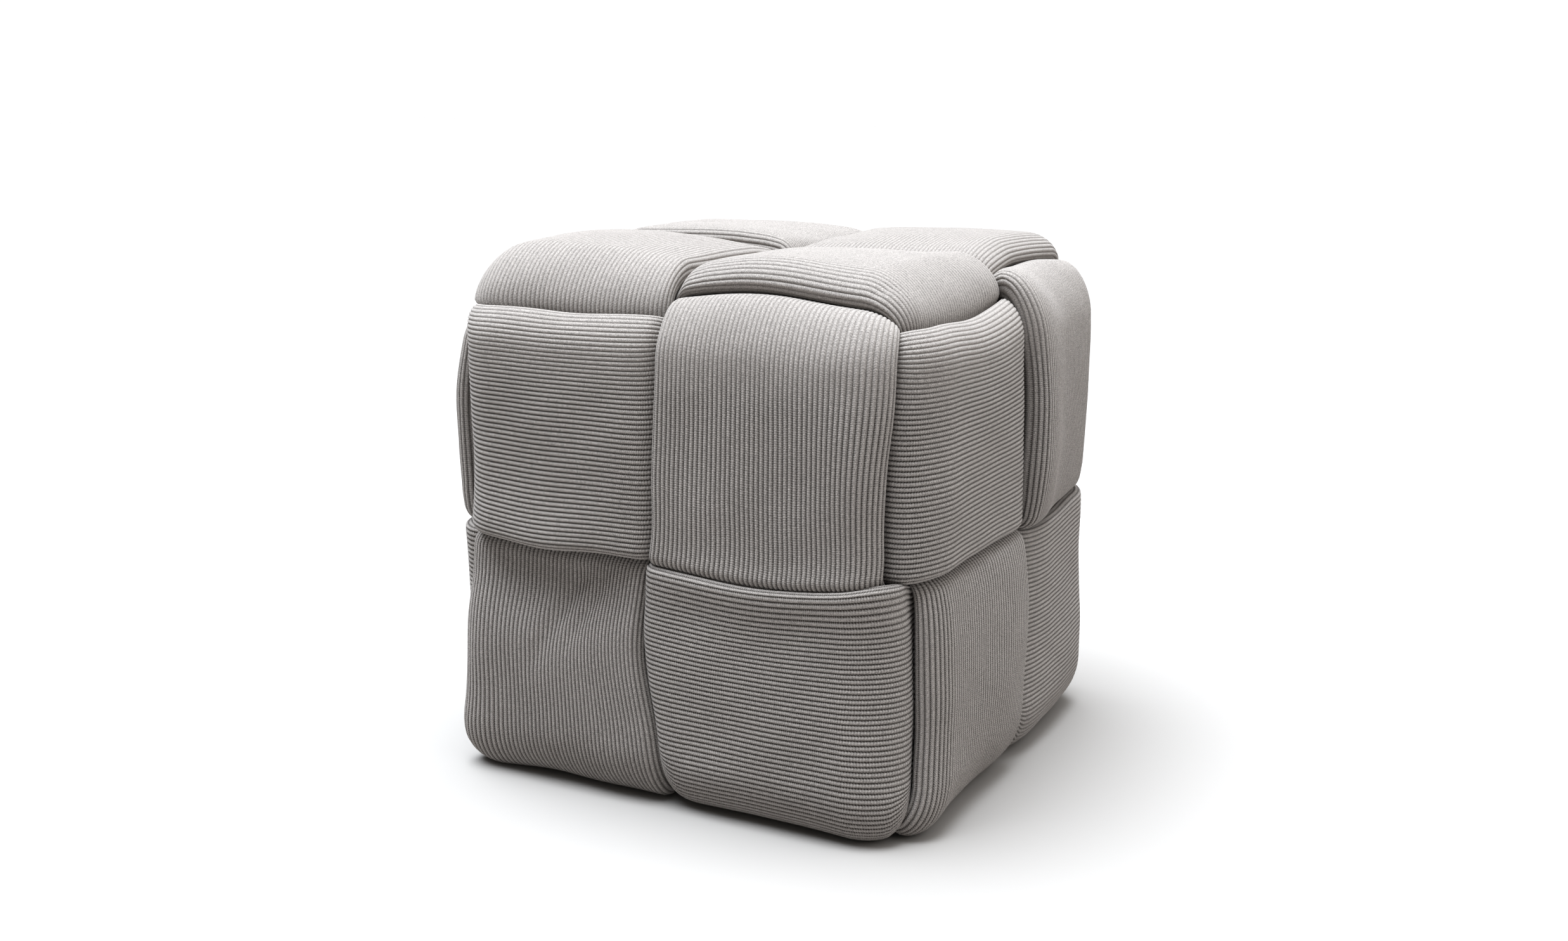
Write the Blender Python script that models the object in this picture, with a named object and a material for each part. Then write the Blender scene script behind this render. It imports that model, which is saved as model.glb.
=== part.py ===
"""Cube pouf of six padded bands that weave over and under one another.

Metres, +Z up, resting on z = 0. The wide face to the viewer's left looks along -Y,
the narrow one to the right along +X.
"""

import math

import bmesh
import bpy

# The weave, measured on a band lying flat against the hollow inside of the cube.
FACE_HALF = 0.144
INSIDE_ROUND = 0.0165
PAD = 0.0195
SEAM = 0.001
CLEAR = 0.0009
EDGE_TURN = math.radians(34)
MID_ROUND = INSIDE_ROUND + 1.5 * PAD
FAR_EDGE = FACE_HALF + MID_ROUND * EDGE_TURN
WIDTH = FAR_EDGE - SEAM

# The crown of each raised pad, on the sides and on the top, where one pad is fuller.
CROWN_SIDE = 0.003
CROWN_TOP = 0.009
CROWN_FULL = 0.014
FULL_PAD = "left_band"
# The long edges of a pad are rolled; the tip lies this share of the pad's thickness up.
LIP = 0.45
# Where a neighbour presses on a pad, at least this share of its thickness is left.
LEAST_PAD = 0.1

# The seat's weight fills out the corners below, and the floor flattens them.
CORNER_FILL = 0.02
FLOOR = 0.189
# The pouf is not quite square in plan: the middle crossings sit towards the back, the
# right side draws in towards the back, and the left side draws in towards the top.
MIDDLE_DRIFT = 0.004
RIGHT_DRAW = 0.035
LEFT_DRAW = 0.012
PLAN_HALF = 0.200
# What brings the middle of the uneven footprint back over the origin.
SIDE_SHIFT = 0.0018

# Where hands and weight have moved the weave from its even shape, from the pouf's middle:
# each row moves what lies about its place, less and less as far as its reach.
SHIFTS = (
    # place, reach, move
    ((0.060, -0.170, 0.180), (0.050, 0.040, 0.035), (0.000, 0.005, 0.008)),
    ((0.080, -0.195, 0.000), (0.065, 0.060, 0.050), (0.000, 0.000, -0.0115)),
    ((-0.100, -0.195, 0.000), (0.050, 0.060, 0.050), (0.000, 0.000, -0.0085)),
    ((0.000, -0.195, -0.060), (0.045, 0.060, 0.050), (-0.0145, 0.000, 0.000)),
    ((0.000, -0.195, 0.070), (0.050, 0.060, 0.050), (-0.004, 0.000, 0.000)),
    ((0.185, -0.165, -0.090), (0.035, 0.040, 0.080), (0.004, 0.008, 0.000)),
    ((0.200, 0.000, -0.070), (0.050, 0.045, 0.055), (0.000, 0.010, 0.000)),
    ((0.190, 0.080, 0.000), (0.060, 0.060, 0.050), (0.000, 0.000, -0.007)),
    ((0.190, -0.080, 0.165), (0.035, 0.040, 0.030), (0.000, 0.000, -0.005)),
    ((0.185, -0.190, 0.165), (0.030, 0.030, 0.030), (0.006, 0.000, 0.000)),
    ((0.165, 0.070, 0.185), (0.030, 0.060, 0.030), (-0.009, 0.000, 0.007)),
    ((0.210, 0.150, 0.100), (0.040, 0.060, 0.060), (-0.002, 0.000, 0.000)),
    ((-0.090, -0.190, 0.165), (0.100, 0.040, 0.030), (0.000, 0.000, -0.005)),
    ((-0.200, -0.100, -0.100), (0.040, 0.120, 0.060), (-0.006, 0.000, 0.000)),
    ((-0.145, -0.090, 0.200), (0.035, 0.070, 0.050), (0.000, 0.000, 0.004)),
    ((0.200, 0.120, -0.040), (0.050, 0.060, 0.060), (-0.005, 0.000, 0.000)),
)

# One quarter of a band's loop: it comes out from under its neighbour at the middle of
# a face, lies over the next one, and goes round the cube's edge. flat is the way past
# the middle of the face, turn the degrees round the edge. under and over are the heights
# of the two sides in pad thicknesses, crown the share of the pad's full crown.
TRAVEL = (
    # flat, turn, under, over, crown
    (-FACE_HALF, 0, 0.00, 0.965, 0.00),
    (-0.0120, 0, 0.00, 0.965, 0.00),
    (-0.0055, 0, 0.04, 1.00, 0.00),
    (-0.0022, 0, 0.22, 1.18, 0.00),
    (0.0006, 0, 0.56, 1.46, 0.00),
    (0.0035, 0, 0.86, 1.74, 0.10),
    (0.0090, 0, 1.00, 1.94, 0.30),
    (0.0500, 0, 1.00, 2.00, 0.90),
    (0.0950, 0, 1.00, 2.00, 1.00),
    (FACE_HALF, 0, 1.00, 2.00, 0.75),
    (FACE_HALF, 12, 1.00, 1.94, 0.50),
    (FACE_HALF, 24, 0.97, 1.82, 0.25),
    (FACE_HALF, 34, 0.76, 1.64, 0.10),
    (FACE_HALF, 43, 0.54, 1.42, 0.00),
    (FACE_HALF, 51, 0.24, 1.14, 0.00),
    (FACE_HALF, 58, 0.10, 0.96, 0.00),
    (FACE_HALF, 68, 0.00, 0.965, 0.00),
)

# The outside across a band, from the edge at the middle of the face to the edge at the
# cube's side. rise is the share of the height above the tip that the roll has reached.
OUTSIDE = (
    # across, rise
    (0.0000, 0.00),
    (0.0010, 0.40),
    (0.0040, 0.72),
    (0.0100, 0.95),
    (0.0250, 1.00),
    (0.0600, 1.00),
    (0.1000, 1.00),
    (FACE_HALF - SEAM, 0.99),
    (WIDTH - 0.0160, 0.92),
    (WIDTH - 0.0080, 0.78),
    (WIDTH - 0.0025, 0.50),
    (WIDTH, 0.00),
)
# The underside on the way back. lift is the share of the tip's height at its rolled edges.
UNDERSIDE = (
    # across, lift
    (WIDTH - 0.0030, 0.42),
    (WIDTH - 0.0100, 0.06),
    (FACE_HALF - SEAM, 0.00),
    (0.0090, 0.06),
    (0.0025, 0.45),
)

# Each band: the way its outer long edge faces, the face it starts on, its way of travel.
BANDS = (
    # name, edge, face, travel
    ("right_band", (1, 0, 0), (0, 0, 1), (0, 1, 0)),
    ("left_band", (-1, 0, 0), (0, 0, 1), (0, -1, 0)),
    ("back_band", (0, 1, 0), (0, 0, 1), (-1, 0, 0)),
    ("front_band", (0, -1, 0), (0, 0, 1), (1, 0, 0)),
    ("upper_band", (0, 0, 1), (0, 1, 0), (1, 0, 0)),
    ("lower_band", (0, 0, -1), (0, 1, 0), (-1, 0, 0)),
)
CLOTH_COLOUR = (0.42, 0.395, 0.37, 1.0)
CLOTH_ROUGHNESS = 0.92


def clear_scene():
    for item in list(bpy.data.objects):
        bpy.data.objects.remove(item, do_unlink=True)


def collection_named(name):
    group = bpy.data.collections.new(name)
    bpy.context.scene.collection.children.link(group)
    return group


def cloth_material(name):
    material = bpy.data.materials.new(name)
    material.use_nodes = True
    shader = material.node_tree.nodes["Principled BSDF"]
    shader.inputs["Base Color"].default_value = CLOTH_COLOUR
    shader.inputs["Roughness"].default_value = CLOTH_ROUGHNESS
    shader.inputs["Metallic"].default_value = 0.0
    material.diffuse_color = CLOTH_COLOUR
    return material


def between(stops, where):
    """The value at a place among (place, value) stops in rising order."""
    for (place_a, value_a), (place_b, value_b) in zip(stops, stops[1:]):
        if where <= place_b:
            share = max(0.0, (where - place_a) / (place_b - place_a))
            return value_a + (value_b - value_a) * share
    return stops[-1][1]


def underside_at(way):
    """The height of a band's underside at a way along its loop, its edge turns unrolled."""
    stops = [(row[0] + MID_ROUND * math.radians(row[1]), row[2]) for row in TRAVEL]
    return between(stops, way)


def lift_at(across):
    """How far a band's underside rises at a place across it, towards its rolled edges."""
    stops = [(0.0, 1.0)] + list(reversed(UNDERSIDE)) + [(WIDTH, 1.0)]
    return LIP * between(stops, across)


def facing(across, turn):
    """The outward direction at a place: along the band's edge side, its face, its travel."""
    lean = max(0.0, across + SEAM - FACE_HALF) / MID_ROUND
    swing = math.radians(turn)
    return (
        math.sin(lean),
        math.cos(lean) * math.cos(swing),
        math.cos(lean) * math.sin(swing),
    )


def room_above(across, flat, turn):
    """How high the outside may stand below the band that crosses on top."""
    side, up, ahead = facing(across, turn)
    way = across + SEAM
    if turn > 0:
        crossing = FACE_HALF + MID_ROUND * math.asin(up) - SEAM
        if way > FACE_HALF:
            way = FACE_HALF + MID_ROUND * math.atan2(side, ahead)
    else:
        crossing = -flat - SEAM
    if crossing < 0 or crossing > WIDTH:
        return 2.0
    return underside_at(way) + lift_at(crossing) - CLEAR / PAD


def outside_level(across, rise, row, crown_height):
    flat, turn, under, over, crown = row
    share = across / WIDTH
    height = over + crown * crown_height / PAD * 4 * share * (1 - share)
    level = under + LIP + (height - under - LIP) * rise
    if flat < 0 or turn > 45:
        level = min(level, max(room_above(across, flat, turn), under + LEAST_PAD))
    return level


def underside_level(lift, row):
    return row[2] + min(LIP * lift, 0.8 * LEAST_PAD if row[0] < 0 or row[1] > 45 else 1.0)


def shifted(point):
    """The same place moved by the unevenness of the weave."""
    moved = list(point)
    for place, reach, move in SHIFTS:
        away = sum(((point[i] - place[i]) / reach[i]) ** 2 for i in range(3))
        share = math.exp(-0.5 * away)
        for i in range(3):
            moved[i] += share * move[i]
    return moved


def settled(point):
    """The same place on the pouf as it stands, uneven and flattened by the floor."""
    x, y, z = shifted(point)
    past_x = max(0.0, abs(x) - FACE_HALF)
    past_y = max(0.0, abs(y) - FACE_HALF)
    past_z = max(0.0, -z - FACE_HALF)
    out = math.hypot(past_x, past_y)
    if out > 0 and past_z > 0:
        fill = CORNER_FILL * math.sin(2 * math.atan2(past_z, out)) ** 2
        x += math.copysign(past_x * fill, x)
        y += math.copysign(past_y * fill, y)
        z -= past_z * fill
    back = min(1.0, max(0.0, y / PLAN_HALF))
    high = min(1.0, max(0.0, 0.5 + 0.5 * z / PLAN_HALF))
    x *= 1 - (RIGHT_DRAW * back * back if x > 0 else LEFT_DRAW * high)
    y += MIDDLE_DRIFT * max(0.0, 1 - (y / PLAN_HALF) ** 2)
    return (x + SIDE_SHIFT, y, max(z, -FLOOR) + FLOOR)


def place(across, row, level, axes):
    edge, face, travel = axes
    flat, turn = row[0], row[1]
    side, up, ahead = facing(across, turn)
    reach = INSIDE_ROUND + level * PAD
    along_edge = min(across + SEAM, FACE_HALF) + side * reach
    along_face = FACE_HALF + up * reach
    along_travel = flat + ahead * reach
    return settled(
        tuple(
            along_edge * edge[i] + along_face * face[i] + along_travel * travel[i]
            for i in range(3)
        )
    )


def section(row, axes, top_crown):
    """One closed outline across the band: the outside, then the underside back again."""
    crown_height = top_crown if axes[1][2] > 0 else CROWN_SIDE
    ring = [
        place(across, row, outside_level(across, rise, row, crown_height), axes)
        for across, rise in OUTSIDE
    ]
    ring += [
        place(across, row, underside_level(lift, row), axes) for across, lift in UNDERSIDE
    ]
    return ring


def band_mesh(name, edge, face, travel):
    rings = []
    top_crown = CROWN_FULL if name == FULL_PAD else CROWN_TOP
    for _ in range(4):
        rings += [section(row, (edge, face, travel), top_crown) for row in TRAVEL]
        face, travel = travel, tuple(-value for value in face)
    count = len(rings[0])
    mesh = bmesh.new()
    rows = [[mesh.verts.new(point) for point in ring] for ring in rings]
    for ring, after in zip(rows, rows[1:] + rows[:1]):
        for i in range(count):
            j = (i + 1) % count
            mesh.faces.new((ring[i], ring[j], after[j], after[i]))
    bmesh.ops.recalc_face_normals(mesh, faces=mesh.faces)
    data = bpy.data.meshes.new(name)
    mesh.to_mesh(data)
    mesh.free()
    return data


def build():
    clear_scene()
    group = collection_named("cube_pouf_stool")
    for name, edge, face, travel in BANDS:
        item = bpy.data.objects.new(name, band_mesh(name, edge, face, travel))
        item.data.materials.append(cloth_material(name + "_cloth"))
        group.objects.link(item)


build()
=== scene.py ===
"""The woven cube pouf as photographed: ribbed cloth over six padded bands, on a pale floor.

Metres, +Z up, standing on z = 0. Each band is drawn from the same main sizes as its solid,
with the ribs of its cloth raised in the mesh. Its cross-section is a ring of columns, swept
along the band's loop in four quarters, one for each face of the pouf that it crosses.
"""

import math

import bpy
import numpy as np
from mathutils import Matrix, Vector


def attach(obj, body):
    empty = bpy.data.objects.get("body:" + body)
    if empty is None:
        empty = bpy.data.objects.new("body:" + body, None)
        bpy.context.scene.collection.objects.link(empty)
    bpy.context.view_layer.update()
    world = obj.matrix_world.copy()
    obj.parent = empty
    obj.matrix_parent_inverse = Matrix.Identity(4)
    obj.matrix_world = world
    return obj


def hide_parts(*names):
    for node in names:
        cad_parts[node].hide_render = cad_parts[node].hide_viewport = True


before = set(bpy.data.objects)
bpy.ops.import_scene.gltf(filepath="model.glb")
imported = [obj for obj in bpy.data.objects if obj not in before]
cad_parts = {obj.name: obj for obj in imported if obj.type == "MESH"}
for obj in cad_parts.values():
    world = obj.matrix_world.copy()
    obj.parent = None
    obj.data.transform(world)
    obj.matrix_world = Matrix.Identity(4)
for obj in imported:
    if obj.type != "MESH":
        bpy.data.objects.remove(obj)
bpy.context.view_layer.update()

# The weave, as in the solids: the flat half of a face, the round of its edge inside, the
# thickness of a pad, half the seam between two, and how far a band's outer edge turns over
# the edge of the pouf. MID_ROUND is the round of the outer pads' middle, and QUARTER the
# way over a face and round its edge there. Of the crowned pads on the top one is fuller.
FACE_HALF = 0.144
INSIDE_ROUND = 0.0165
PAD = 0.0195
SEAM = 0.001
EDGE_TURN = math.radians(34)
MID_ROUND = INSIDE_ROUND + 1.5 * PAD
QUARTER = 2 * FACE_HALF + MID_ROUND * math.pi / 2
CROWN_TOP = 0.009
CROWN_FULL = 0.014
FULL_PAD = "left_band"

# How the pouf stands, as in the solids: corners filled out below, the floor under its
# middle, the middle crossings set back, and its sides drawn in to the back and the top.
# PLAN_HALF is half its side, and SIDE_SHIFT brings it over the origin.
CORNER_FILL = 0.02
FLOOR = 0.189
MIDDLE_DRIFT = 0.004
RIGHT_DRAW = 0.035
LEFT_DRAW = 0.012
PLAN_HALF = 0.200
SIDE_SHIFT = 0.0018

# Drawn more closely than in the solids: the crown of the side pads, the share of a crown
# left at a pad's long edges, and the share of the thickness at which those edges have
# their tips.
CROWN_SIDE = 0.004
EDGE_CROWN = 0.3
LIP = 0.55

# The rolls of a band's long edges: the one in the middle of the face, the same on the
# lowest band, the one over the pouf's edge, and the underside of both.
ROLL_NEAR = 0.008
LOW_ROLL = 0.004
ROLL_FAR = 0.024
ROLL_UNDER = 0.014

# The lowest band's outer edge turns far under the pouf, on a side face from this way past
# its middle, and fully after this much more.
LOW_BAND = "lower_band"
LOW_TURN = math.radians(62)
LOW_START = -0.004
LOW_START_OVER = 0.020
# The four bands that pass under the pouf are narrow there. Turns of a band's own end at
# this angle round the pouf's edge and are full this many radians before it. The bands that
# go down start to narrow at this angle, and are narrow after this many radians.
FLOOR_TURN = math.radians(15)
OWN_TURN_END = math.radians(58)
OWN_TURN_OVER = 0.5
NARROW_START = math.radians(55)
NARROW_OVER = 0.45

# A band's two sides along one quarter of its loop: it comes out from under its neighbour
# at the middle of a face, lies over the next one and goes round the pouf's edge. flat is
# the way past the middle of the face, turn the degrees round the edge, under and over the
# heights of the two sides in pad thicknesses, crown the share of the full crown.
TRAVEL = (
    # flat, turn, under, over, crown
    (-FACE_HALF, 0, 0.00, 0.965, 0.00),
    (-0.0200, 0, 0.00, 0.965, 0.00),
    (-0.0120, 0, 0.00, 1.00, 0.00),
    (-0.0060, 0, 0.12, 1.15, 0.00),
    (-0.0025, 0, 0.40, 1.40, 0.00),
    (0.0005, 0, 0.70, 1.64, 0.00),
    (0.0030, 0, 0.88, 1.80, 0.05),
    (0.0080, 0, 0.98, 1.92, 0.20),
    (0.0200, 0, 1.00, 1.98, 0.55),
    (0.0500, 0, 1.00, 2.00, 0.90),
    (0.0950, 0, 1.00, 2.00, 1.00),
    (FACE_HALF, 0, 1.00, 2.00, 0.85),
    (FACE_HALF, 12, 1.00, 1.97, 0.65),
    (FACE_HALF, 24, 1.00, 1.93, 0.45),
    (FACE_HALF, 35, 0.96, 1.88, 0.25),
    (FACE_HALF, 44, 0.82, 1.75, 0.10),
    (FACE_HALF, 50, 0.62, 1.55, 0.04),
    (FACE_HALF, 56, 0.31, 1.26, 0.00),
    (FACE_HALF, 61, 0.10, 1.03, 0.00),
    (FACE_HALF, 68, 0.00, 0.965, 0.00),
    (FACE_HALF, 90, 0.00, 0.965, 0.00),
)
TRAVEL_FLAT = tuple(row for row in TRAVEL if row[1] == 0)
# The same where the band turns under the pouf, pressed square by the floor.
TRAVEL_DOWN = TRAVEL_FLAT + (
    (FACE_HALF, 24, 1.00, 2.00, 0.60),
    (FACE_HALF, 43, 1.00, 1.98, 0.30),
    (FACE_HALF, 55, 0.95, 1.90, 0.10),
    (FACE_HALF, 64, 0.60, 1.55, 0.00),
    (FACE_HALF, 72, 0.20, 1.15, 0.00),
    (FACE_HALF, 80, 0.00, 0.965, 0.00),
    (FACE_HALF, 90, 0.00, 0.965, 0.00),
)
# And where it comes back up from under the pouf, covered by the lowest band's wide edge.
TRAVEL_UP = TRAVEL_FLAT + (
    (FACE_HALF, 6, 1.00, 1.90, 0.30),
    (FACE_HALF, 13, 0.75, 1.65, 0.00),
    (FACE_HALF, 20, 0.35, 1.30, 0.00),
    (FACE_HALF, 28, 0.05, 1.00, 0.00),
    (FACE_HALF, 36, 0.00, 0.965, 0.00),
    (FACE_HALF, 90, 0.00, 0.965, 0.00),
)
# And where it slopes down from the top and dives under the upper band.
TRAVEL_TOP = TRAVEL_FLAT + (
    (FACE_HALF, 8, 1.00, 1.97, 0.66),
    (FACE_HALF, 16, 1.00, 1.92, 0.48),
    (FACE_HALF, 24, 0.98, 1.84, 0.33),
    (FACE_HALF, 32, 0.90, 1.74, 0.20),
    (FACE_HALF, 40, 0.76, 1.61, 0.11),
    (FACE_HALF, 48, 0.52, 1.43, 0.05),
    (FACE_HALF, 53, 0.34, 1.28, 0.00),
    (FACE_HALF, 58, 0.15, 1.10, 0.00),
    (FACE_HALF, 63, 0.03, 0.98, 0.00),
    (FACE_HALF, 68, 0.00, 0.965, 0.00),
    (FACE_HALF, 90, 0.00, 0.965, 0.00),
)
# The levels between these rows are rounded off over this way, in tables of this step.
LEVEL_SOFTNESS = 0.0016
LEVEL_STEP = 0.00025

# Each band: the way its outer long edge faces, the face it starts on, its way of travel.
BANDS = (
    # name, edge, face, travel
    ("right_band", (1, 0, 0), (0, 0, 1), (0, 1, 0)),
    ("left_band", (-1, 0, 0), (0, 0, 1), (0, -1, 0)),
    ("back_band", (0, 1, 0), (0, 0, 1), (-1, 0, 0)),
    ("front_band", (0, -1, 0), (0, 0, 1), (1, 0, 0)),
    ("upper_band", (0, 0, 1), (0, 1, 0), (1, 0, 0)),
    ("lower_band", (0, 0, -1), (0, 1, 0), (-1, 0, 0)),
)

# The ribs: their pitch, their depth, the fullness of their crests, what each band multiplies
# the pitch by, and the places of the mesh's columns across one rib.
RIB_PITCH = 0.0035
RIB_DEPTH = 0.0014
RIB_ROUND = 3.6
RIB_SPREAD = {
    "right_band": 1.015,
    "left_band": 1.05,
    "back_band": 1.05,
    "front_band": 1.11,
    "upper_band": 0.975,
    "lower_band": 1.08,
}
RIB_STEPS = (0.0, 0.09, 0.28, 0.5, 0.72, 0.91)
# The ribs go on this far past the tips of the long edges. The rest of the underside is
# plain, with this many columns from rib to rib. Ribs are counted at this way on a face.
UNDER_SHOWN = 0.016
PLAIN_COLUMNS = 9
COUNTED_AT = 0.075
# The points on an arc and on the flat of the cross-section that the columns are placed on.
ARC_STEPS = 40
FLAT_STEPS = 60

# The stations along a quarter: hidden, rising from under the neighbour, flat and turning.
HIDDEN_WAYS = (-FACE_HALF, -0.08, -0.03, -0.012)
RISE_WAYS = np.linspace(-0.008, 0.010, 11)
FLAT_WAYS = np.linspace(0.014, FACE_HALF, 18)
TURN_DEGREES = (4, 8, 12, 16, 20, 25, 30, 35, 40, 44, 48, 52, 56, 60, 64, 68, 73, 80)

# Ribs are pressed flatter on the seat and a little on the right face: the share lost, and
# how far the surface faces that way where it starts, and over how much more it grows.
SEAT_PRESS = 0.40
SEAT_FACING = 0.1
SEAT_FACING_OVER = 0.6
SIDE_PRESS = 0.10
SIDE_FACING = 0.5
SIDE_FACING_OVER = 0.45
# A band's own moves and unevenness start where it is clear of its neighbour, this many pad
# thicknesses up, and act fully after this many more, so that its back stays where it is.
FREE_START = 1.0
FREE_OVER = 0.5

# The slow unevenness of hand-stuffed pads, as products of two waves across the pouf.
WOBBLE = 0.0007
WOBBLE_WAVES = (
    # share, first wave by x, y, z, its start, second wave by x, y, z, its start
    (1.00, (31, 0, 17), 1.3, (0, 27, -11), 0.4),
    (0.60, (-23, 0, 57), 2.1, (49, 33, 0), 0.0),
    (0.35, (0, 93, 61), 0.0, (88, 0, -71), 0.9),
)
# The wandering of the ribs that hand sewing leaves, a slow and a faster wave for each axis.
DRIFT = 0.0003
DRIFT_FAST = 0.5
DRIFT_WAVES = (
    # slow wave by x, y, z, its start, fast wave by x, y, z
    ((0, 41, 29), 0.7, (0, -61, 83)),
    ((37, 0, -31), 2.2, (79, 0, 67)),
    ((33, 43, 0), 1.1, (71, -89, 0)),
)

# Where hands and weight have moved the weave from its even shape, from the pouf's middle.
# A row for all moves every band alike. A band's own row moves its outside only.
SHIFTS = (
    # band or all, place, reach, move
    ("all", (0.060, -0.170, 0.180), (0.050, 0.040, 0.035), (0.000, 0.005, 0.008)),
    ("all", (0.080, -0.195, 0.000), (0.065, 0.060, 0.050), (0.000, 0.000, -0.0115)),
    ("all", (-0.100, -0.195, 0.000), (0.050, 0.060, 0.050), (0.000, 0.000, -0.0085)),
    ("all", (0.000, -0.195, -0.060), (0.045, 0.060, 0.050), (-0.0145, 0.000, 0.000)),
    ("all", (0.000, -0.195, 0.070), (0.050, 0.060, 0.050), (-0.004, 0.000, 0.000)),
    ("all", (0.185, -0.165, -0.090), (0.035, 0.040, 0.080), (0.004, 0.008, 0.000)),
    ("all", (0.200, 0.000, -0.070), (0.050, 0.045, 0.055), (0.000, 0.010, 0.000)),
    ("all", (0.190, 0.080, 0.000), (0.060, 0.060, 0.050), (0.000, 0.000, -0.007)),
    ("all", (0.190, -0.080, 0.165), (0.035, 0.040, 0.030), (0.000, 0.000, -0.005)),
    ("all", (0.185, -0.190, 0.165), (0.030, 0.030, 0.030), (0.006, 0.000, 0.000)),
    ("all", (0.165, 0.070, 0.185), (0.030, 0.060, 0.030), (-0.009, 0.000, 0.007)),
    ("all", (0.210, 0.150, 0.100), (0.040, 0.060, 0.060), (-0.002, 0.000, 0.000)),
    ("all", (-0.090, -0.190, 0.165), (0.100, 0.040, 0.030), (0.000, 0.000, -0.005)),
    ("all", (-0.200, -0.100, -0.100), (0.040, 0.120, 0.060), (-0.006, 0.000, 0.000)),
    ("all", (-0.145, -0.090, 0.200), (0.035, 0.070, 0.050), (0.000, 0.000, 0.004)),
    ("all", (0.200, 0.120, -0.040), (0.050, 0.060, 0.060), (-0.005, 0.000, 0.000)),
    ("all", (0.185, -0.185, -0.182), (0.040, 0.030, 0.022), (0.004, -0.004, -0.003)),
    ("all", (-0.180, -0.190, -0.185), (0.035, 0.030, 0.020), (-0.002, -0.002, -0.004)),
    ("left_band", (-0.090, -0.190, -0.022), (0.065, 0.040, 0.024), (0.000, 0.013, 0.000)),
    ("upper_band", (-0.095, -0.195, 0.006), (0.070, 0.030, 0.020), (0.000, -0.007, 0.000)),
    ("left_band", (-0.175, -0.150, 0.165), (0.030, 0.060, 0.028), (-0.010, -0.002, -0.005)),
    ("upper_band", (-0.195, -0.190, 0.178), (0.030, 0.040, 0.014), (-0.005, 0.000, -0.001)),
    ("upper_band", (-0.195, -0.190, 0.145), (0.030, 0.040, 0.020), (0.004, 0.000, 0.000)),
    ("upper_band", (-0.195, -0.190, 0.080), (0.030, 0.040, 0.055), (0.010, 0.000, 0.000)),
    ("upper_band", (-0.195, -0.190, 0.008), (0.030, 0.040, 0.030), (0.008, 0.000, 0.000)),
    ("upper_band", (-0.100, -0.195, 0.002), (0.090, 0.030, 0.020), (0.000, 0.000, 0.0025)),
    ("front_band", (-0.195, -0.160, 0.175), (0.035, 0.060, 0.035), (0.009, 0.000, -0.006)),
    ("front_band", (-0.200, -0.170, 0.080), (0.030, 0.040, 0.050), (-0.001, -0.004, 0.000)),
    ("front_band", (0.200, -0.030, -0.080), (0.030, 0.040, 0.060), (0.004, 0.000, 0.000)),
    ("back_band", (0.200, 0.014, 0.090), (0.040, 0.030, 0.080), (0.014, 0.000, 0.000)),
    ("lower_band", (0.100, -0.200, -0.004), (0.085, 0.040, 0.012), (0.000, -0.006, 0.0035)),
    ("lower_band", (0.178, -0.195, -0.004), (0.025, 0.030, 0.012), (0.000, -0.002, 0.004)),
    ("right_band", (0.100, -0.200, 0.003), (0.080, 0.030, 0.008), (0.000, -0.0065, 0.0005)),
    ("left_band", (-0.185, -0.190, -0.165), (0.025, 0.035, 0.030), (-0.010, -0.003, 0.000)),
    ("left_band", (-0.190, -0.185, -0.080), (0.025, 0.030, 0.060), (-0.004, 0.000, 0.000)),
    ("lower_band", (-0.200, -0.160, -0.100), (0.030, 0.060, 0.060), (0.010, 0.000, 0.000)),
    ("lower_band", (-0.195, -0.175, -0.160), (0.030, 0.050, 0.030), (0.008, 0.000, 0.000)),
    ("back_band", (-0.060, 0.010, 0.200), (0.070, 0.030, 0.040), (0.000, -0.004, 0.008)),
    ("left_band", (-0.060, -0.010, 0.200), (0.070, 0.018, 0.030), (0.000, 0.000, -0.005)),
    ("front_band", (0.175, -0.010, 0.180), (0.025, 0.025, 0.025), (0.003, 0.002, -0.001)),
    ("back_band", (0.185, 0.008, 0.165), (0.020, 0.020, 0.022), (-0.001, -0.008, 0.010)),
    ("right_band", (0.190, -0.195, 0.130), (0.030, 0.030, 0.030), (0.005, 0.000, 0.000)),
    ("right_band", (0.190, -0.195, 0.020), (0.030, 0.030, 0.050), (-0.004, 0.000, 0.000)),
    ("back_band", (0.170, 0.090, 0.180), (0.030, 0.050, 0.030), (0.000, 0.000, 0.004)),
)

# Folds pressed into the cloth, as lines on the pouf seen from its middle, deepest at their
# start. FOLD_TAIL sets how much of the depth is left at the end.
FOLDS = (
    # band, start, end, half width, depth
    ("left_band", (-0.070, -0.195, -0.026), (-0.105, -0.200, -0.090), 0.0080, 0.0044),
    ("left_band", (-0.052, -0.195, -0.030), (-0.078, -0.200, -0.075), 0.0055, 0.0034),
    ("left_band", (-0.130, -0.195, -0.024), (-0.112, -0.200, -0.060), 0.0060, 0.0020),
    ("front_band", (0.140, -0.195, 0.185), (0.166, -0.150, 0.200), 0.0040, 0.0022),
    ("front_band", (0.154, -0.195, 0.180), (0.176, -0.160, 0.196), 0.0035, 0.0022),
    ("front_band", (0.166, -0.190, 0.176), (0.184, -0.165, 0.190), 0.0030, 0.0018),
)
FOLD_TAIL = 1.15

# The cloth's colour, from dark to pale by its tone, and the painted shade that multiplies it
# towards the grooves, where shade falls between the ribs.
CLOTH_TONES = ((0.0, (0.125, 0.114, 0.105)), (1.0, (0.395, 0.358, 0.330)))
GROOVE_PAINTED_SHADE = (
    # place from crest to groove, colour
    (0.00, (1.0, 1.0, 1.0)),
    (0.42, (0.95, 0.95, 0.95)),
    (0.70, (0.55, 0.55, 0.55)),
    (1.00, (0.075, 0.058, 0.045)),
)
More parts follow.
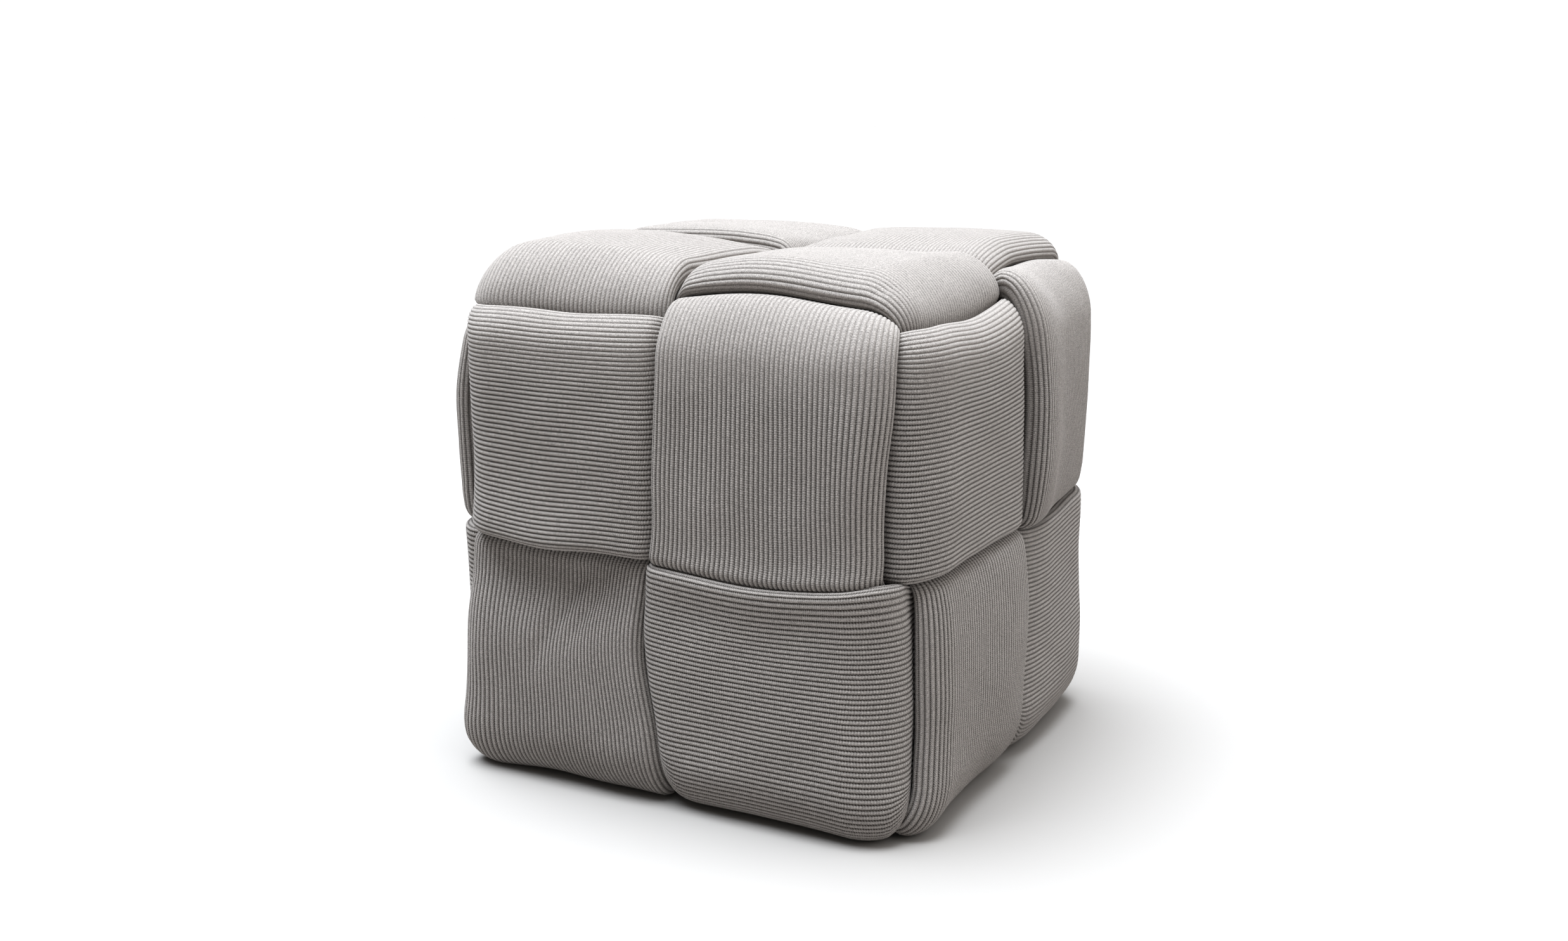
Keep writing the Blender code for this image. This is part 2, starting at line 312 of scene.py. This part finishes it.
# The tone is a sum of these, less TONE_DROP.
TONE_GRAIN = 1.8
TONE_FLECKS = 0.55
TONE_STITCH = 0.20
TONE_PATCHES = 0.15
TONE_DROP = 0.75
# Noise: scale and detail.
GRAIN = (1500.0, 3.0)
FLECKS = (620.0, 1.0)
PATCHES = (14.0, 4.0)
# The crest's place across a rib, which starts and ends in a groove.
CREST = 0.5
# Knit stitches in each rib: how many to a rib's pitch along it, their slant away from the
# crest, a start that differs from rib to rib, and how far the grain unsettles them. The last is
# how much the stitches shift the painted shade of the groove.
STITCH_RATE = 2.3
STITCH_SLANT = 1.6
STITCH_SCATTER = 12.9898
STITCH_START = 43.7585
STITCH_GRAIN = 0.5
STITCH_IN_GROOVE = 0.27
BUMP_GRAIN = 1.5
BUMP_STRENGTH = 0.45
BUMP_DISTANCE = 0.0003
CLOTH_SOCKETS = {
    "Roughness": 0.95,
    "Specular IOR Level": 0.05,
    "Sheen Weight": 0.14,
    "Sheen Roughness": 0.6,
    "Sheen Tint": (1.0, 0.95, 0.91, 1),
}
# As in the photo, the painted shade of the grooves is paler up on the seat, by height, and on
# the right face, by how far the surface faces +X, where the light falls more openly; the seat's
# value also pales the stitches: from and to there, and the share of the shade at each.
SEAT_PAINTED_SHADE_AND_STITCH_FADE = (0.295, 0.350, 1.0, 0.35)
RIGHT_FACE_PAINTED_SHADE_FADE = (0.50, 0.95, 1.0, 0.65)

# The studio: brightness of the horizon by height, and of two soft lights by how near a
# direction lies to theirs, as from and to that value, and the brightness at each.
HORIZON = (0.05, 0.14, 1.05, 0.15)
KEY_DIRECTION = (-0.18, -0.06, 1.0)
KEY_SPREAD = (0.84, 0.96, 0.0, 18.0)
KEY_COLOUR = (0.925, 1.0, 1.08)
FILL_DIRECTION = (0.56, 0.12, 0.80)
FILL_SPREAD = (0.66, 1.0, 0.0, 2.0)
FLOOR_HALF = 12.0
FLOOR_DROP = 0.0005
FLOOR_COLOUR = (0.312, 0.294, 0.278, 1)
FLOOR_ROUGHNESS = 0.9

# The camera at the photo's angle, its place from the pouf's middle in its own axes.
CAMERA_AZIMUTH = math.radians(28.18)
CAMERA_ELEVATION = math.radians(12.99)
CAMERA_RIGHT = -0.0028
CAMERA_UP = 0.0222
CAMERA_BACK = 1.4235
CAMERA_SENSOR_MM = 36.0
CAMERA_LENS_MM = 40.95

# What the rows of four limits above set, in a node that maps a range.
RANGE_SOCKETS = ("From Min", "From Max", "To Min", "To Max")


def smooth_step(value):
    value = np.clip(value, 0.0, 1.0)
    return value * value * (3 - 2 * value)


def smooth_levels(travel_rows):
    """Fine tables of the under, over and crown levels along a quarter, rounded off."""
    ways = np.arange(-FACE_HALF, QUARTER - FACE_HALF, LEVEL_STEP)
    stops = [row[0] + MID_ROUND * math.radians(row[1]) for row in travel_rows]
    reach = int(3 * LEVEL_SOFTNESS / LEVEL_STEP)
    offsets = np.arange(-reach, reach + 1) * LEVEL_STEP
    kernel = np.exp(-0.5 * (offsets / LEVEL_SOFTNESS) ** 2)
    kernel /= kernel.sum()
    tables = []
    for column in (2, 3, 4):
        raw = np.interp(ways, stops, [row[column] for row in travel_rows])
        ringed = np.concatenate([raw[-reach:], raw, raw[:reach]])
        tables.append(np.convolve(ringed, kernel, mode="valid"))
    return ways, tables


SIDE_LEVELS = smooth_levels(TRAVEL)
DOWN_LEVELS = smooth_levels(TRAVEL_DOWN)
UP_LEVELS = smooth_levels(TRAVEL_UP)
TOP_LEVELS = smooth_levels(TRAVEL_TOP)


def quarter_levels(face, travel):
    """The level tables of a quarter, by the face it lies on and the way it travels."""
    if face[2] > 0:
        return TOP_LEVELS
    if face[2] < 0:
        return UP_LEVELS
    return DOWN_LEVELS if travel[2] < 0 else SIDE_LEVELS


def edge_turn(name, face, travel, ways):
    """The turn of the outer edge along a quarter: its own below, the common one elsewhere."""
    if name == LOW_BAND:
        own = LOW_TURN
    else:
        own = FLOOR_TURN if face[2] < 0 else EDGE_TURN
    swing = (ways - FACE_HALF) / MID_ROUND
    shown = smooth_step((OWN_TURN_END - swing) / OWN_TURN_OVER)
    if face[2] == 0:
        shown = shown * smooth_step((ways - LOW_START) / LOW_START_OVER)
    turn = EDGE_TURN + (own - EDGE_TURN) * shown
    if travel[2] < 0:
        turn += (FLOOR_TURN - EDGE_TURN) * smooth_step((swing - NARROW_START) / NARROW_OVER)
    return turn


def shifted(points, band, free):
    """The places moved by the unevenness of the weave; a band's own moves spare its back."""
    moved = points.copy()
    for name, place, reach, move in SHIFTS:
        if name not in ("all", band):
            continue
        away = (points - np.array(place)) / np.array(reach)
        share = np.exp(-0.5 * (away * away).sum(axis=-1, keepdims=True))
        if name == band:
            share = share * free[..., None]
        moved += share * np.array(move)
    return moved


def settled(points):
    """The places on the pouf as it stands, uneven in plan and flattened by the floor."""
    x, y, z = points[..., 0].copy(), points[..., 1].copy(), points[..., 2].copy()
    past_x = np.maximum(0.0, np.abs(x) - FACE_HALF)
    past_y = np.maximum(0.0, np.abs(y) - FACE_HALF)
    past_z = np.maximum(0.0, -z - FACE_HALF)
    out = np.hypot(past_x, past_y)
    both = (out > 0) & (past_z > 0)
    fill = np.where(both, CORNER_FILL * np.sin(2 * np.arctan2(past_z, out)) ** 2, 0.0)
    x += np.sign(x) * past_x * fill
    y += np.sign(y) * past_y * fill
    z -= past_z * fill
    back = np.clip(y / PLAN_HALF, 0.0, 1.0)
    high = np.clip(0.5 + 0.5 * z / PLAN_HALF, 0.0, 1.0)
    x *= 1 - np.where(x > 0, RIGHT_DRAW * back * back, LEFT_DRAW * high)
    y += MIDDLE_DRIFT * np.maximum(0.0, 1 - (y / PLAN_HALF) ** 2)
    return np.stack([x + SIDE_SHIFT, y, np.maximum(z, -FLOOR) + FLOOR], axis=-1)


def band_width(name):
    turn = LOW_TURN if name == LOW_BAND else EDGE_TURN
    return FACE_HALF + MID_ROUND * turn - SEAM


def band_points(name, across, share, ways, axes, crown_height):
    """Places, and levels in pad thicknesses, by way along the loop and place round the band."""
    edge, face, travel = (np.array(axis, float) for axis in axes)
    width = band_width(name)
    fine_ways, tables = quarter_levels(face, travel)
    under, over, crown = (np.interp(ways, fine_ways, table) for table in tables)
    part = np.clip(across / width, 0.0, 1.0)
    bulge = crown_height / PAD * (EDGE_CROWN + (1 - EDGE_CROWN) * 4 * part * (1 - part))
    top = over[:, None] + crown[:, None] * bulge[None, :]
    level = under[:, None] + share[None, :] * (top - under[:, None])
    lean = np.maximum(0.0, across + SEAM - FACE_HALF)[None, :] / MID_ROUND
    swing = np.maximum(0.0, ways - FACE_HALF) / MID_ROUND
    full = (width + SEAM - FACE_HALF) / MID_ROUND
    lean = lean * (edge_turn(name, face, travel, ways) / full)[:, None]
    reach = INSIDE_ROUND + level * PAD
    side = np.sin(lean)
    up = np.cos(lean) * np.cos(swing)[:, None]
    ahead = np.cos(lean) * np.sin(swing)[:, None]
    along_edge = np.minimum(across + SEAM, FACE_HALF)[None, :] + side * reach
    along_face = FACE_HALF + up * reach
    along_travel = np.minimum(ways, FACE_HALF)[:, None] + ahead * reach
    places = (
        along_edge[..., None] * edge
        + along_face[..., None] * face
        + along_travel[..., None] * travel
    )
    return places, level


def outline(width, near):
    """The band's cross-section as fine steps: place across, and share of the way up."""
    angles = np.linspace(0, math.pi / 2, ARC_STEPS)
    run = np.linspace(0, 1, FLAT_STEPS)
    across, share = [], []

    def add(a, s):
        across.append(np.asarray(a, float))
        share.append(np.asarray(s, float) * np.ones_like(across[-1]))

    add(ROLL_UNDER * (1 - np.sin(angles)), LIP * (1 - np.cos(angles)))
    add(near * (1 - np.cos(angles[1:])), LIP + (1 - LIP) * np.sin(angles[1:]))
    add((near + (width - ROLL_FAR - near) * run)[1:], 1.0)
    back = angles[::-1][1:]
    add(width - ROLL_FAR * (1 - np.cos(back)), LIP + (1 - LIP) * np.sin(back))
    add(width - ROLL_UNDER * (1 - np.cos(angles[1:])), LIP * (1 - np.sin(angles[1:])))
    add(ROLL_UNDER + (width - 2 * ROLL_UNDER) * (1 - run[1:-1]), 0.0)
    return np.concatenate(across), np.concatenate(share)


def ring_columns(name):
    """The columns of a band: place across, share of the height, rib count so far."""
    across, share = outline(band_width(name), LOW_ROLL if name == LOW_BAND else ROLL_NEAR)
    axes = ((1, 0, 0), (0, 0, 1), (0, 1, 0))
    places = band_points(name, across, share, np.array([COUNTED_AT]), axes, 0.0)[0][0]
    steps = np.linalg.norm(np.diff(places, axis=0), axis=1)
    length = np.concatenate([[0.0], np.cumsum(steps)])
    pitch = RIB_PITCH * RIB_SPREAD[name]
    near_tip = length[ARC_STEPS - 1]
    far_tip = length[3 * (ARC_STEPS - 1) + FLAT_STEPS - 1]
    start = near_tip - UNDER_SHOWN
    ribs = int(round((far_tip - near_tip + 2 * UNDER_SHOWN) / pitch))
    marks = [(start + (k + u) * pitch, k + u) for k in range(ribs) for u in RIB_STEPS]
    marks.append((start + ribs * pitch, float(ribs)))
    places_at = np.array([m[0] for m in marks])
    rib_at = np.array([m[1] for m in marks])
    hidden = np.linspace(places_at[-1], length[-1] + start, PLAIN_COLUMNS)[1:-1]
    hidden_rib = np.full(hidden.shape, float(ribs))
    where = np.concatenate([places_at, hidden])
    where = np.where(where < 0, where + length[-1], where) % length[-1]
    ring_rib = np.concatenate([rib_at, hidden_rib])
    ring_across = np.interp(where, length, across)
    ring_share = np.interp(where, length, share)
    return ring_across, ring_share, ring_rib, ribs


def rib_height(rib, ribs):
    """The height of the cloth against the crests of its ribs, at a count of ribs."""
    drop = np.abs(2 * (rib % 1.0) - 1) ** RIB_ROUND
    return np.where(rib >= ribs, 0.0, -RIB_DEPTH * drop)


def quarter_ways():
    """The stations along a quarter: few where the band is hidden, many where it shows."""
    turn = FACE_HALF + MID_ROUND * np.radians(TURN_DEGREES)
    return np.concatenate([HIDDEN_WAYS, RISE_WAYS, FLAT_WAYS, turn])


def wave(points, rates, start=0.0):
    return np.sin(points @ np.array(rates, float) + start)


def wobble(points):
    """A slow unevenness of the surface, in metres."""
    value = 0.0
    for share, first, first_start, second, second_start in WOBBLE_WAVES:
        value = value + share * wave(points, first, first_start) * wave(
            points, second, second_start
        )
    return WOBBLE * value


def drift(points):
    """A small move of every place, the same for every band that passes there."""
    moves = [
        wave(points, slow, start) + DRIFT_FAST * wave(points, fast)
        for slow, start, fast in DRIFT_WAVES
    ]
    return DRIFT * np.stack(moves, axis=-1)


def fold_depth(places, band):
    """How deep the pressed folds of one band are at its places, seen from the pouf's middle."""
    depth = np.zeros(places.shape[:-1])
    for name, start, end, half_width, most in FOLDS:
        if name != band:
            continue
        start = np.array(start)
        line = np.array(end) - start
        part = np.clip(((places - start) @ line) / (line @ line), 0.0, 1.0)
        away = np.linalg.norm(places - start - part[..., None] * line, axis=-1)
        left = np.sqrt(np.clip(FOLD_TAIL - part, 0.0, 1.0))
        depth += most * np.exp(-((away / half_width) ** 2)) * left
    return depth


def outward_normals(points):
    """The directions out of a closed band at its places."""
    along = np.roll(points, -1, axis=0) - np.roll(points, 1, axis=0)
    across = np.roll(points, -1, axis=1) - np.roll(points, 1, axis=1)
    normal = np.cross(across, along)
    size = np.linalg.norm(normal, axis=-1, keepdims=True)
    normal = normal / np.maximum(size, 1e-12)
    middle = points.mean(axis=1, keepdims=True)
    return -normal if ((points - middle) * normal).sum() < 0 else normal


def even_loop(name, edge, face, travel, ring_across, ring_share):
    """A whole band before it is moved: its places, their levels, and the way along it."""
    ways = quarter_ways()
    top_crown = CROWN_FULL if name == FULL_PAD else CROWN_TOP
    blocks, levels, loop_ways = [], [], []
    for quarter in range(4):
        crown_height = top_crown if face[2] > 0 else CROWN_SIDE
        axes = (edge, face, travel)
        places, level = band_points(name, ring_across, ring_share, ways, axes, crown_height)
        blocks.append(places)
        levels.append(level)
        loop_ways.append(ways + quarter * QUARTER)
        face, travel = travel, tuple(-value for value in face)
    return np.concatenate(blocks), np.concatenate(levels), np.concatenate(loop_ways)


def worn_loop(name, even, levels, ring_rib, ribs):
    """The band as it lies: moved by wear, with its ribs, its unevenness and its folds."""
    free = smooth_step((levels - FREE_START) / FREE_OVER)
    points = settled(shifted(even + drift(even), name, free))
    normals = outward_normals(points)
    upward = smooth_step((normals[..., 2] - SEAT_FACING) / SEAT_FACING_OVER)
    sideways = smooth_step((normals[..., 0] - SIDE_FACING) / SIDE_FACING_OVER)
    pressed = 1 - SEAT_PRESS * upward - SIDE_PRESS * sideways
    height = rib_height(ring_rib, ribs)[None, :] * pressed + wobble(points) * free
    height = height - fold_depth(points - np.array([SIDE_SHIFT, 0.0, FLOOR]), name)
    points = points + normals * height[..., None]
    points[..., 2] = np.maximum(points[..., 2], 0.0)
    return points


def rib_corners(ring_rib, ribs, loop_ways):
    """The UVs of every face's corners: ribs across the band, and rib pitches along it."""
    shape = (len(loop_ways), len(ring_rib))
    way_next = np.append(loop_ways[1:], 4 * QUARTER - FACE_HALF)
    u_a = np.broadcast_to(ring_rib, shape)
    u_b = np.broadcast_to(np.append(ring_rib[1:], float(ribs)), shape)
    v_a = np.broadcast_to(loop_ways[:, None] / RIB_PITCH, shape)
    v_b = np.broadcast_to(way_next[:, None] / RIB_PITCH, shape)
    pairs = ((u_a, v_a), (u_b, v_a), (u_b, v_b), (u_a, v_b))
    return np.stack([np.stack(pair, -1) for pair in pairs], axis=2).reshape(-1, 2)


def band_object(name, edge, face, travel, material):
    """One band's cloth: a closed mesh of its columns along its loop."""
    ring_across, ring_share, ring_rib, ribs = ring_columns(name)
    even, levels, loop_ways = even_loop(name, edge, face, travel, ring_across, ring_share)
    points = worn_loop(name, even, levels, ring_rib, ribs)
    rows, columns = points.shape[:2]
    vertex = np.arange(rows * columns).reshape(rows, columns)
    next_row = np.roll(vertex, -1, axis=0)
    quads = np.stack(
        [vertex, np.roll(vertex, -1, axis=1), np.roll(next_row, -1, axis=1), next_row],
        axis=-1,
    ).reshape(-1, 4)
    data = bpy.data.meshes.new(name + "_cloth")
    data.from_pydata(points.reshape(-1, 3).tolist(), [], quads.tolist())
    layer = data.uv_layers.new(name="ribs")
    corners = rib_corners(ring_rib, ribs, loop_ways)
    layer.data.foreach_set("uv", corners.astype(np.float32).ravel())
    data.polygons.foreach_set("use_smooth", [True] * len(data.polygons))
    data.update()
    data.materials.append(material)
    item = bpy.data.objects.new(name + "_cloth", data)
    bpy.context.scene.collection.objects.link(item)
    return item


def math_node(tree, operation, first, second=None):
    node = tree.nodes.new("ShaderNodeMath")
    node.operation = operation
    for index, value in enumerate((first, second)):
        if value is None:
            continue
        if isinstance(value, (int, float)):
            node.inputs[index].default_value = value
        else:
            tree.links.new(value, node.inputs[index])
    return node.outputs[0]


def weighted_sum(tree, terms):
    """The sum of values, each times its weight."""
    total = None
    for value, weight in terms:
        term = math_node(tree, "MULTIPLY", value, weight)
        total = term if total is None else math_node(tree, "ADD", total, term)
    return total


def split_axes(tree, vector):
    node = tree.nodes.new("ShaderNodeSeparateXYZ")
    tree.links.new(vector, node.inputs[0])
    return node.outputs


def map_range(tree, value, limits):
    node = tree.nodes.new("ShaderNodeMapRange")
    node.interpolation_type = "SMOOTHSTEP"
    tree.links.new(value, node.inputs["Value"])
    for name, limit in zip(RANGE_SOCKETS, limits):
        node.inputs[name].default_value = limit
    return node.outputs[0]


def noise(tree, vector, scale_and_detail):
    node = tree.nodes.new("ShaderNodeTexNoise")
    node.inputs["Scale"].default_value, node.inputs["Detail"].default_value = scale_and_detail
    tree.links.new(vector, node.inputs["Vector"])
    return node.outputs[0]


def colour_ramp(tree, value, stops, interpolation):
    node = tree.nodes.new("ShaderNodeValToRGB")
    ramp = node.color_ramp
    ramp.interpolation = interpolation
    for element, (position, colour) in zip(ramp.elements, (stops[0], stops[-1])):
        element.position = position
        element.color = (*colour, 1)
    for position, colour in stops[1:-1]:
        ramp.elements.new(position).color = (*colour, 1)
    tree.links.new(value, node.inputs[0])
    return node.outputs[0]


def cloth_material():
    """Greige ribbed cloth with painted shade in its grooves: each rib carries slanted stitches
    that meet at its crest.
    """
    material = bpy.data.materials.new("ribbed_cloth")
    material.use_nodes = True
    tree = material.node_tree
    shader = tree.nodes["Principled BSDF"]
    ribs = tree.nodes.new("ShaderNodeUVMap")
    ribs.uv_map = "ribs"
    across, along = split_axes(tree, ribs.outputs[0])[:2]
    where = tree.nodes.new("ShaderNodeTexCoord")
    place = where.outputs["Object"]
    grain = noise(tree, place, GRAIN)
    flecks = noise(tree, place, FLECKS)
    patches = noise(tree, place, PATCHES)

    in_rib = math_node(tree, "FRACT", across)
    off_crest = math_node(tree, "ABSOLUTE", math_node(tree, "SUBTRACT", in_rib, CREST))
    scatter = math_node(tree, "MULTIPLY", math_node(tree, "FLOOR", across), STITCH_SCATTER)
    phase = weighted_sum(
        tree,
        (
            (along, STITCH_RATE),
            (off_crest, STITCH_SLANT),
            (math_node(tree, "SINE", scatter), STITCH_START),
            (grain, STITCH_GRAIN),
        ),
    )
    stitch = math_node(tree, "SINE", math_node(tree, "MULTIPLY", phase, 2 * math.pi))
    # seat and side pale the painted shade of the grooves up on the seat and on the right face,
    # where the light falls more openly; seat also pales the stitches.
    seat = map_range(tree, split_axes(tree, place)[2], SEAT_PAINTED_SHADE_AND_STITCH_FADE)
    side = map_range(tree, split_axes(tree, where.outputs["Normal"])[0], RIGHT_FACE_PAINTED_SHADE_FADE)
    relief = math_node(tree, "MULTIPLY", stitch, seat)

    tone = weighted_sum(
        tree,
        (
            (grain, TONE_GRAIN),
            (flecks, TONE_FLECKS),
            (relief, TONE_STITCH),
            (patches, TONE_PATCHES),
        ),
    )
    tone = math_node(tree, "SUBTRACT", tone, TONE_DROP)
    # The way from crest to groove, shifted by the stitches, sets the painted shade that darkens
    # the grooves where shade falls between the ribs.
    into_groove = weighted_sum(tree, ((off_crest, 1 / CREST), (stitch, STITCH_IN_GROOVE)))
    painted_shade_mix = tree.nodes.new("ShaderNodeMix")
    painted_shade_mix.data_type = "RGBA"
    painted_shade_mix.blend_type = "MULTIPLY"
    tree.links.new(math_node(tree, "MULTIPLY", seat, side), painted_shade_mix.inputs[0])
    tree.links.new(colour_ramp(tree, tone, CLOTH_TONES, "LINEAR"), painted_shade_mix.inputs[6])
    tree.links.new(colour_ramp(tree, into_groove, GROOVE_PAINTED_SHADE, "B_SPLINE"), painted_shade_mix.inputs[7])
    tree.links.new(painted_shade_mix.outputs[2], shader.inputs["Base Color"])

    bump = tree.nodes.new("ShaderNodeBump")
    bump.inputs["Strength"].default_value = BUMP_STRENGTH
    bump.inputs["Distance"].default_value = BUMP_DISTANCE
    raised = math_node(tree, "ADD", relief, math_node(tree, "MULTIPLY", grain, BUMP_GRAIN))
    tree.links.new(raised, bump.inputs["Height"])
    tree.links.new(bump.outputs[0], shader.inputs["Normal"])
    for name, value in CLOTH_SOCKETS.items():
        shader.inputs[name].default_value = value
    return material


def floor_material():
    material = bpy.data.materials.new("floor_white")
    material.use_nodes = True
    shader = material.node_tree.nodes["Principled BSDF"]
    shader.inputs["Base Color"].default_value = FLOOR_COLOUR
    shader.inputs["Roughness"].default_value = FLOOR_ROUGHNESS
    shader.inputs["Specular IOR Level"].default_value = 0.0
    return material


def build_floor():
    half = FLOOR_HALF
    data = bpy.data.meshes.new("floor")
    data.from_pydata(
        [(-half, -half, 0), (half, -half, 0), (half, half, 0), (-half, half, 0)],
        [],
        [(0, 1, 2, 3)],
    )
    data.materials.append(floor_material())
    floor = bpy.data.objects.new("floor", data)
    floor.location = (0, 0, -FLOOR_DROP)
    bpy.context.scene.collection.objects.link(floor)


def soft_light(tree, looking, direction, spread):
    """The brightness of a soft light, by how near a direction lies to its own."""
    node = tree.nodes.new("ShaderNodeVectorMath")
    node.operation = "DOT_PRODUCT"
    node.inputs[1].default_value = Vector(direction).normalized()
    tree.links.new(looking, node.inputs[0])
    return map_range(tree, node.outputs["Value"], spread)


def build_lights():
    """A white studio: a wide soft light overhead, a bright horizon and dim walls between."""
    world = bpy.data.worlds.new("studio")
    world.use_nodes = True
    tree = world.node_tree
    background = tree.nodes["Background"]
    background.inputs["Strength"].default_value = 1.0
    looking = tree.nodes.new("ShaderNodeTexCoord").outputs["Generated"]
    horizon = map_range(tree, split_axes(tree, looking)[2], HORIZON)
    key = soft_light(tree, looking, KEY_DIRECTION, KEY_SPREAD)
    fill = soft_light(tree, looking, FILL_DIRECTION, FILL_SPREAD)
    tint = tree.nodes.new("ShaderNodeVectorMath")
    tint.operation = "SCALE"
    tint.inputs[0].default_value = KEY_COLOUR
    tree.links.new(key, tint.inputs["Scale"])
    total = tree.nodes.new("ShaderNodeVectorMath")
    total.operation = "ADD"
    tree.links.new(tint.outputs[0], total.inputs[0])
    tree.links.new(math_node(tree, "ADD", horizon, fill), total.inputs[1])
    tree.links.new(total.outputs[0], background.inputs["Color"])
    bpy.context.scene.world = world


def build_camera():
    level = math.cos(CAMERA_ELEVATION)
    back = Vector(
        (
            math.sin(CAMERA_AZIMUTH) * level,
            -math.cos(CAMERA_AZIMUTH) * level,
            math.sin(CAMERA_ELEVATION),
        )
    )
    right = Vector((math.cos(CAMERA_AZIMUTH), math.sin(CAMERA_AZIMUTH), 0))
    up = back.cross(right)
    place = right * CAMERA_RIGHT + up * CAMERA_UP + back * CAMERA_BACK
    place += Vector((SIDE_SHIFT, 0, FLOOR))
    lens = bpy.data.cameras.new("camera")
    lens.sensor_width = CAMERA_SENSOR_MM
    lens.lens = CAMERA_LENS_MM
    camera = bpy.data.objects.new("camera", lens)
    camera.matrix_world = Matrix(
        (
            (right.x, up.x, back.x, place.x),
            (right.y, up.y, back.y, place.y),
            (right.z, up.z, back.z, place.z),
            (0, 0, 0, 1),
        )
    )
    bpy.context.scene.collection.objects.link(camera)
    bpy.context.scene.camera = camera


def build_pouf():
    material = cloth_material()
    for name, edge, face, travel in BANDS:
        cloth = band_object(name, edge, face, travel, material)
        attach(cloth, "root")
        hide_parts(name)


build_pouf()
build_floor()
build_lights()
build_camera()
bpy.context.scene.view_settings.view_transform = "Standard"
